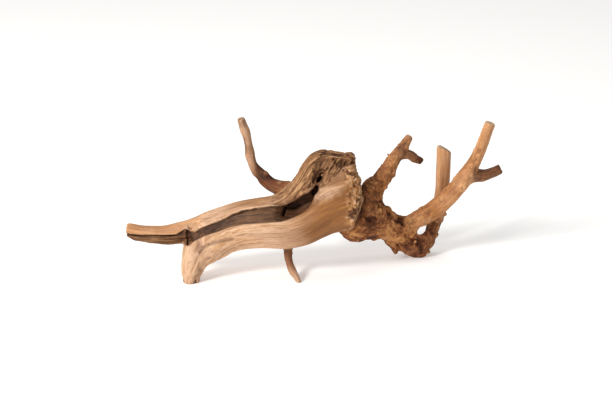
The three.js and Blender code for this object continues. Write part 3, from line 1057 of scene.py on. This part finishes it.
def flat_charts(mesh, limbs, survey):
    """Yields each limb's skin rolled out flat as (corners, places in mm): a strip and its ends."""
    vertex = values_of(mesh.loops, "vertex_index", np.int32)
    start = values_of(mesh.polygons, "loop_start", np.int32)
    normal = values_of(mesh.polygons, "normal", np.float32, 3)
    face = np.repeat(np.arange(len(start)), values_of(mesh.polygons, "loop_total", np.int32))
    owner = survey.owner[vertex[start]]
    for index, limb in enumerate(limbs):
        mine = np.flatnonzero(owner == index)
        if not len(mine):
            continue
        centre = survey.points[vertex[start[mine]]]
        ahead = (normal[mine] * limb.tangent[limb.nearest(centre)]).sum(1)
        ending = limb.measure(centre)[1] > -END_CAP_DEPTH
        kind = np.zeros(len(start), np.int8)
        capping = ending & (np.abs(ahead) > END_CAP_COSINE)
        kind[mine] = np.where(capping, np.where(ahead > 0, 2, 3), 1)
        for wanted in (1, 2, 3):
            corners = np.flatnonzero(kind[face] == wanted)
            if len(corners):
                place = limb.measure(survey.points[vertex[corners]])[2]
                yield corners, (rolled_out(place, face[corners]) if wanted == 1 else
                                place[:, 1:] * (1, 1 if wanted == 2 else -1))


def rolled_out(place, face):
    """Distance along a limb and round it; faces that cross the seam at the back stay whole."""
    turn = np.arctan2(place[:, 1], -place[:, 2])
    first = np.flatnonzero(np.diff(face, prepend=-1))
    crosses = np.maximum.reduceat(turn, first) - np.minimum.reduceat(turn, first) > math.pi
    crosses = np.repeat(crosses, np.diff(np.append(first, len(face))))
    turn = np.where(crosses & (turn < 0), turn + 2 * math.pi, turn)
    radius = np.median(np.hypot(place[:, 1], place[:, 2]))
    return np.stack([place[:, 0], turn * radius], 1)


def lay_out(mesh, limbs, survey):
    """Bake map: the flat charts side by side on shelves in a square."""
    charts = []
    for corners, flat in flat_charts(mesh, limbs, survey):
        flat = flat - flat.min(0)
        if flat[:, 1].max() > flat[:, 0].max():
            flat = np.stack([flat[:, 1], flat[:, 0].max() - flat[:, 0]], 1)
        charts.append((corners, flat, flat.max(0) + CHART_GAP))
    charts.sort(key=lambda chart: -chart[2][1])
    side = math.sqrt(sum(size[0] * size[1] for _, _, size in charts))
    while not (spots := shelve([size for _, _, size in charts], side)):
        side *= 1.02
    places = np.zeros((len(mesh.loops), 2), np.float32)
    for (corners, flat, _), spot in zip(charts, spots):
        places[corners] = (flat + np.array(spot) + CHART_GAP / 2) / side
    mesh.uv_layers.new(name="OFBake").uv.foreach_set("vector", places.ravel())


def shelve(sizes, side):
    """Low corner of each box when set left to right on shelves, or nothing if they don't fit."""
    across, level, height = 0.0, 0.0, 0.0
    spots = []
    for wide, tall in sizes:
        if across + wide > side:
            across, level, height = 0.0, level + height, 0.0
        if wide > side or level + tall > side:
            return None
        spots.append((across, level))
        across, height = across + wide, max(height, tall)
    return spots


def record_traits(mesh, survey):
    """Stores what the finish needs on the mesh points."""
    vector = mesh.attributes.new("grain", "FLOAT_VECTOR", "POINT")
    vector.data.foreach_set("vector", (survey.grain * MM).astype(np.float32).ravel())
    flare = smooth(-62.0, 8.0, survey.across + 10 * noise(survey.points / 20.0, 41))
    flare *= (1 - survey.crest) * (1 - survey.pale_edge)
    band = 0.72 * survey.top_band * (1 - survey.crest)
    traits = {
        "weathered": np.maximum.reduce([survey.crest, survey.underside,
                                        0.8 * survey.broken_rim]),
        "hollow": survey.hollow,
        "bark": survey.bark,
        "rim": survey.rim,
        "warm": survey.warm,
        "brown": survey.brown,
        "heartwood": survey.of("trunk") * np.maximum(flare, band) + 0.22 * survey.of("foot", "heel"),
        "endgrain": survey.end,
        "worn": survey.worn,
        "cleft_shade": survey.cleft_shade,
        "sunken": survey.sunken,
        "crack": np.maximum(survey.crack, 0.55 * survey.crease),
    }
    for name, values in traits.items():
        layer = mesh.attributes.new(name, "FLOAT", "POINT")
        layer.data.foreach_set("value", np.clip(values, 0, 1).astype(np.float32))


# ---- finish -----------------------------------------------------------------------------------


def colour(code):
    """Linear colour from an sRGB hex code."""
    parts = [int(code[k:k + 2], 16) / 255 for k in (0, 2, 4)]
    return tuple(p / 12.92 if p <= 0.04045 else ((p + 0.055) / 1.055) ** 2.4 for p in parts)


class Recipe:
    """Short way to wire a node tree."""

    def __init__(self, tree):
        self.tree = tree
        tree.nodes.clear()

    def add(self, kind, inputs=None, **settings):
        node = self.tree.nodes.new(kind)
        for key, value in settings.items():
            setattr(node, key, value)
        for key, value in (inputs or {}).items():
            if isinstance(value, bpy.types.NodeSocket):
                self.tree.links.new(value, node.inputs[key])
            else:
                node.inputs[key].default_value = value
        return node

    def trait(self, name):
        return self.add("ShaderNodeAttribute", attribute_name=name).outputs["Fac"]

    def noise(self, vector, scale, detail=3.0, roughness=0.55, distortion=0.0):
        stretched = self.add("ShaderNodeMapping", {"Vector": vector, "Scale": scale}).outputs[0]
        return self.add("ShaderNodeTexNoise", {
            "Vector": stretched, "Scale": 1.0, "Detail": detail, "Roughness": roughness,
            "Distortion": distortion}).outputs["Fac"]

    def math(self, operation, a, b=0.0, clamp=False):
        return self.add("ShaderNodeMath", {0: a, 1: b}, operation=operation,
                        use_clamp=clamp).outputs[0]

    def remap(self, value, low, high, to_low=0.0, to_high=1.0):
        return self.add("ShaderNodeMapRange", {
            "Value": value, "From Min": low, "From Max": high, "To Min": to_low,
            "To Max": to_high}, interpolation_type="SMOOTHSTEP").outputs["Result"]

    def ramp(self, value, stops):
        node = self.add("ShaderNodeValToRGB", {"Fac": value})
        elements = node.color_ramp.elements
        while len(elements) < len(stops):
            elements.new(0.5)
        for element, (at, tint) in zip(elements, stops):
            element.position = at
            element.color = (*tint, 1.0)
        return node.outputs["Color"]

    def mix(self, share, a, b, mode="MIX"):
        node = self.add("ShaderNodeMix", data_type="RGBA", blend_type=mode)
        for key, value in ((0, share), (6, a), (7, b)):
            if isinstance(value, bpy.types.NodeSocket):
                self.tree.links.new(value, node.inputs[key])
            elif key == 0:
                node.inputs[key].default_value = value
            else:
                node.inputs[key].default_value = (*value, 1.0)
        return node.outputs[2]


def wood_finish(look):
    """Sanded, weathered, barky and hollowed wood in one material, led by the mesh's traits."""
    material = bpy.data.materials.new("weathered_driftwood")
    material.use_nodes = True
    make = Recipe(material.node_tree)
    grain = make.add("ShaderNodeAttribute", attribute_name="grain").outputs["Vector"]
    place = make.add("ShaderNodeTexCoord").outputs["Object"]
    broad = make.noise(grain, (9, 130, 130), 3, distortion=0.6)
    fibre = make.noise(grain, (32, 520, 520), 4, 0.6)
    pores = make.noise(grain, (110, 1500, 1500), 2)
    blotch = make.noise(place, (38, 38, 38), 4, 0.6)
    speck = make.noise(place, (260, 260, 260), 3, 0.65)

    sanded = make.ramp(broad, [(0.28, look.sanded_tan), (0.50, look.sanded_pale),
                               (0.72, look.sanded_blush)])
    heart = make.ramp(fibre, [(0.32, look.heart_dark), (0.66, look.heart_light)])
    wood = make.mix(make.trait("heartwood"), sanded, heart)
    wood = make.mix(make.math("MULTIPLY", make.trait("warm"), make.remap(blotch, 0.3, 0.7, 1, 0.6)),
                    wood, look.orange_tan)
    reddish = make.ramp(make.math("ADD", make.math("MULTIPLY", fibre, 0.6),
                                  make.math("MULTIPLY", blotch, 0.4)),
                        [(0.38, look.brown_dark), (0.62, look.brown_light)])
    streak = make.math("MULTIPLY", make.remap(fibre, 0.50, 0.36),
                       make.remap(make.trait("warm"), 0.0, 1.0, 0.62, 0.2))
    wood = make.mix(streak, wood, look.streak)
    wood = make.mix(make.math("MULTIPLY", make.remap(pores, 0.47, 0.33), 0.5), wood, look.streak)

    grey = make.ramp(fibre, [(0.30, look.weathered_dark), (0.48, look.weathered_mid),
                             (0.66, look.weathered_light)])
    grey = make.mix(make.math("MULTIPLY", make.remap(speck, 0.55, 0.35), 0.4), grey,
                    look.weathered_dark)
    wood = make.mix(make.trait("weathered"), wood, grey)

    knobbly = make.ramp(speck, [(0.32, look.heart_dark), (0.44, look.heart_light),
                                (0.56, look.sanded_tan), (0.68, look.sanded_blush)])
    wood = make.mix(make.math("MULTIPLY", make.trait("rim"), 0.8), wood, knobbly)

    bark = make.ramp(make.math("ADD", make.math("MULTIPLY", blotch, 0.5),
                               make.math("ADD", make.math("MULTIPLY", fibre, 0.15),
                                         make.math("MULTIPLY", speck, 0.35))),
                     [(0.39, look.bark_dark), (0.49, look.bark_mid), (0.60, look.bark_light)])
    bark = make.mix(make.math("MULTIPLY", make.remap(speck, 0.46, 0.32), 0.5), bark, look.bark_dark)
    wood = make.mix(make.math("MULTIPLY", make.trait("bark"), 0.9), wood, bark)
    wood = make.mix(make.math("MULTIPLY", make.trait("brown"), 0.95), wood, reddish)

    wood = make.mix(make.math("MULTIPLY", make.trait("endgrain"), 0.7), wood, look.end_grain)
    # Dark of the channel, valley, bowl and underside: partly the dark wood there, partly painted
    # shade.
    dark = make.ramp(fibre, [(0.34, look.hollow_dark), (0.66, look.hollow_light)])
    wood = make.mix(make.trait("hollow"), wood, dark)
    # Painted shade in the pits.
    wood = make.mix(make.math("MULTIPLY", make.trait("sunken"), 0.8), wood, look.hollow_dark)
    # Painted shade in the low places of the relief, and a lightening of its high places that is
    # partly wear and partly painted highlight.
    shade = make.ramp(make.trait("worn"), [(0.12, look.worn_low), (0.52, (1.0, 1.0, 1.0))])
    wood = make.mix(1.0, wood, shade, "MULTIPLY")
    wood = make.mix(make.math("MULTIPLY", make.remap(make.trait("worn"), 0.60, 1.0), 0.45), wood,
                    look.worn_high, "SCREEN")
    # Painted shade in the clefts, and the painted shadow behind the broken rim.
    wood = make.mix(make.math("MULTIPLY", make.trait("cleft_shade"), 0.7), wood, look.cleft_shade)
    # Painted shade along the crack and in the crease.
    wood = make.mix(make.math("MULTIPLY", make.trait("crack"), 0.9), wood, look.hollow_dark)

    rough = make.remap(make.math("MAXIMUM", make.trait("weathered"), make.trait("bark")),
                       0, 1, look.sanded_roughness, 0.9)
    lines = make.math("ADD", make.math("MULTIPLY", fibre, 0.6), make.math("MULTIPLY", pores, 0.25))
    height = make.math("MULTIPLY", lines, make.remap(make.math(
        "MAXIMUM", make.trait("bark"), make.trait("warm")), 0, 1, 1.0, 0.45))
    height = make.math("ADD", height, make.math("MULTIPLY", speck, make.math(
        "MULTIPLY", make.math("MAXIMUM", make.trait("bark"), make.trait("rim")), 1.4)))
    bump = make.add("ShaderNodeBump", {"Height": height, "Strength": 0.8,
                                       "Distance": look.grain_depth})
    shader = make.add("ShaderNodeBsdfPrincipled", {
        "Base Color": wood, "Roughness": rough, "Normal": bump.outputs[0],
        "Specular IOR Level": 0.25})
    make.add("ShaderNodeOutputMaterial", {"Surface": shader.outputs[0]})
    return material


def floor_finish(shade, glow):
    """Plain pale paper, lit a little from below."""
    material = bpy.data.materials.new("pale_floor")
    material.use_nodes = True
    shader = material.node_tree.nodes["Principled BSDF"]
    shader.inputs["Base Color"].default_value = (*shade, 1.0)
    shader.inputs["Roughness"].default_value = 0.9
    shader.inputs["Specular IOR Level"].default_value = 0.1
    shader.inputs["Emission Color"].default_value = (1.0, 1.0, 1.0, 1.0)
    shader.inputs["Emission Strength"].default_value = glow
    return material


# ---- stage layout -----------------------------------------------------------------------------

# Places and sizes in metres.
FLOOR_HALF_WIDTH = 6.0
KEY_PLACE = Vector((-1.9, -1.9, 1.8))
KEY_SIZE = 0.8
TOP_PLACE = Vector((-0.2, 0.6, 2.4))
TOP_SIZE = 1.8

# ---- settings ---------------------------------------------------------------------------------


def tint(name, code, description):
    return bpy.props.FloatVectorProperty(name=name, description=description, subtype="COLOR",
                                         size=3, min=0.0, max=1.0, default=colour(code))


class DriftwoodShape(bpy.types.PropertyGroup):
    pitch: bpy.props.FloatProperty(
        name="Carving pitch", description="Grid step the skin is carved on, mm",
        default=1.0, min=0.8, max=3.0)
    quick_pitch: bpy.props.FloatProperty(
        name="Quick pitch", description="Coarser grid step for trying things, mm",
        default=1.6, min=0.8, max=4.0)


class DriftwoodLook(bpy.types.PropertyGroup):
    sanded_pale: tint("Sanded pale", "DFB896", "Palest sanded wood")
    sanded_tan: tint("Sanded tan", "CFA175", "Tan streaks in the sanded wood")
    sanded_blush: tint("Sanded blush", "DFB89B", "Pinkish streaks in the sanded wood")
    streak: tint("Streak", "9C673C", "Fine darker grain lines")
    heart_light: tint("Heartwood light", "A46E38", "Yellow-brown heartwood at the flare")
    heart_dark: tint("Heartwood dark", "6E4225", "Darker heartwood streaks")
    orange_tan: tint("Orange tan", "D59153", "Fresh-looking wood of the arms")
    brown_light: tint("Brown light", "6F3512", "Red-brown wood at the limbs' bases")
    brown_dark: tint("Brown dark", "371706", "Darker red-brown streaks")
    # Colours of the painted shade in the low places and of the lightening of the high places, which
    # is partly wear and partly painted highlight.
    worn_low: tint("Worn low", "8A7260", "Shade that gathers in the low places")
    worn_high: tint("Worn high", "705036", "Lightening of the rubbed high places")
    weathered_light: tint("Weathered light", "C09468", "Backs of the weathered fibres")
    weathered_mid: tint("Weathered mid", "7C5234", "Weathered fibre")
    weathered_dark: tint("Weathered dark", "382214", "Shaded weathered fibre")
    # Colours of the hollows: partly the dark wood there, partly painted shade.
    hollow_dark: tint("Hollow dark", "22100A", "Deepest part of the channel")
    hollow_light: tint("Hollow light", "694226", "Fibres in the channel")
    bark_dark: tint("Bark dark", "4F2611", "Dark root bark")
    bark_mid: tint("Bark mid", "98572A", "Root bark")
    bark_light: tint("Bark light", "E2A15F", "Worn root bark")
    end_grain: tint("End grain", "C9A884", "Sawn and snapped ends")
    # Colour of the painted shade in the clefts and of the painted shadow behind the rim.
    cleft_shade: tint("Cleft", "331C10", "Dirt in the clefts")
    sanded_roughness: bpy.props.FloatProperty(
        name="Sanded roughness", description="Roughness of the sanded wood",
        default=0.62, min=0.0, max=1.0)
    grain_depth: bpy.props.FloatProperty(
        name="Grain depth", description="Depth of the finest grain",
        default=0.0009, min=0.0, max=0.01, subtype="DISTANCE", unit="LENGTH")


class DriftwoodStage(bpy.types.PropertyGroup):
    floor_shade: tint("Floor", "F5F3F0", "Plain pale floor")
    elevation: bpy.props.FloatProperty(
        name="Camera elevation", description="Angle the camera looks down by",
        default=LEAN, subtype="ANGLE", unit="ROTATION")
    distance: bpy.props.FloatProperty(
        name="Camera distance", description="From the camera to what it is aimed at",
        default=SIGHT_DISTANCE * MM, subtype="DISTANCE", unit="LENGTH")
    lens: bpy.props.FloatProperty(
        name="Lens", description="Focal length, mm", default=120.0, min=20.0)
    key_power: bpy.props.FloatProperty(
        name="Key light", description="Power of the soft key light, watts", default=95.0, min=0.0)
    fill_power: bpy.props.FloatProperty(
        name="Top light", description="Power of the overhead light, watts", default=18.0, min=0.0)
    surround: bpy.props.FloatProperty(
        name="Surround", description="Brightness of the white surroundings", default=0.3, min=0.0)
    floor_glow: bpy.props.FloatProperty(
        name="Floor glow", description="Light the floor gives off as backlit paper", default=0.3,
        min=0.0)


# ---- operators --------------------------------------------------------------------------------


class OBJECT_OT_grow_driftwood(bpy.types.Operator):
    """Grow, carve and finish the driftwood, in place of the plain solid"""

    bl_idname = "object.grow_driftwood"
    bl_label = "Grow Driftwood"

    def execute(self, context):
        shape, look = context.scene.driftwood_shape, context.scene.driftwood_look
        limbs = grow_limbs()
        points, triangles, quads = build_surface(
            limbs, shape.pitch)
        points, triangles, quads = keep_shell(points, triangles, quads)
        if len(quads) < FEWEST_FACES:
            raise RuntimeError("the driftwood skin came out empty")
        mesh = make_mesh("driftwood_skin", points, triangles, quads)
        survey = Survey(limbs, points)
        relief(survey)
        record_traits(mesh, survey)
        lay_out(mesh, limbs, survey)
        mesh.materials.append(wood_finish(look))
        skin = bpy.data.objects.new("driftwood_skin", mesh)
        context.scene.collection.objects.link(skin)
        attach(skin, "root")
        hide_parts("driftwood")
        return {"FINISHED"}


def aim(thing, target):
    """Turns a light or camera to look at a point."""
    thing.rotation_euler = (target - thing.location).to_track_quat("-Z", "Y").to_euler()


def soft_light(context, name, place, target, size, power):
    """Square area light."""
    light = bpy.data.lights.new(name, "AREA")
    light.size = size
    light.energy = power
    lamp = bpy.data.objects.new(name, light)
    lamp.location = place
    aim(lamp, target)
    context.scene.collection.objects.link(lamp)


class OBJECT_OT_set_driftwood_stage(bpy.types.Operator):
    """Put down the floor, lights, surroundings and camera"""

    bl_idname = "object.set_driftwood_stage"
    bl_label = "Set Driftwood Stage"

    def execute(self, context):
        stage, scene = context.scene.driftwood_stage, context.scene
        target = Vector((SIGHT_TARGET - CENTRE) * MM)
        self.lay_floor(scene, stage)
        soft_light(context, "key_light", KEY_PLACE, target, KEY_SIZE, stage.key_power)
        soft_light(context, "top_light", TOP_PLACE, target, TOP_SIZE, stage.fill_power)
        self.surround(scene, stage.surround)
        camera = bpy.data.objects.new("camera", bpy.data.cameras.new("camera"))
        camera.data.lens = stage.lens
        back = Vector((0, -math.cos(stage.elevation), math.sin(stage.elevation)))
        camera.location = target + stage.distance * back
        aim(camera, target)
        scene.collection.objects.link(camera)
        scene.camera = camera
        scene.view_settings.view_transform = "Standard"
        return {"FINISHED"}

    def lay_floor(self, scene, stage):
        """One wide sheet at ground level."""
        half = FLOOR_HALF_WIDTH
        mesh = bpy.data.meshes.new("floor")
        mesh.from_pydata([(-half, -half, 0), (half, -half, 0), (half, half, 0), (-half, half, 0)],
                         [], [(0, 1, 2, 3)])
        mesh.materials.append(floor_finish(stage.floor_shade, stage.floor_glow))
        floor = bpy.data.objects.new("floor", mesh)
        scene.collection.objects.link(floor)

    def surround(self, scene, brightness):
        """White surroundings."""
        world = bpy.data.worlds.new("surroundings")
        world.use_nodes = True
        back = world.node_tree.nodes["Background"]
        back.inputs["Color"].default_value = (1, 1, 1, 1)
        back.inputs["Strength"].default_value = brightness
        scene.world = world


class VIEW3D_PT_driftwood(bpy.types.Panel):
    """Settings and steps for the driftwood piece"""

    bl_label = "Driftwood Piece"
    bl_idname = "VIEW3D_PT_driftwood"
    bl_space_type = "VIEW_3D"
    bl_region_type = "UI"
    bl_category = "Driftwood"

    def draw(self, context):
        for group in ("driftwood_shape", "driftwood_look", "driftwood_stage"):
            settings = getattr(context.scene, group)
            box = self.layout.box()
            for key in settings.__annotations__:
                box.prop(settings, key)
        self.layout.operator("object.grow_driftwood")
        self.layout.operator("object.set_driftwood_stage")


CLASSES = (
    DriftwoodShape, DriftwoodLook, DriftwoodStage, OBJECT_OT_grow_driftwood,
    OBJECT_OT_set_driftwood_stage, VIEW3D_PT_driftwood,
)


def register():
    for cls in CLASSES:
        bpy.utils.register_class(cls)
    bpy.types.Scene.driftwood_shape = bpy.props.PointerProperty(type=DriftwoodShape)
    bpy.types.Scene.driftwood_look = bpy.props.PointerProperty(type=DriftwoodLook)
    bpy.types.Scene.driftwood_stage = bpy.props.PointerProperty(type=DriftwoodStage)


def unregister():
    del bpy.types.Scene.driftwood_stage
    del bpy.types.Scene.driftwood_look
    del bpy.types.Scene.driftwood_shape
    for cls in reversed(CLASSES):
        bpy.utils.unregister_class(cls)


def main():
    register()
    bpy.ops.object.grow_driftwood()
    bpy.ops.object.set_driftwood_stage()


if __name__ == "__main__":
    main()
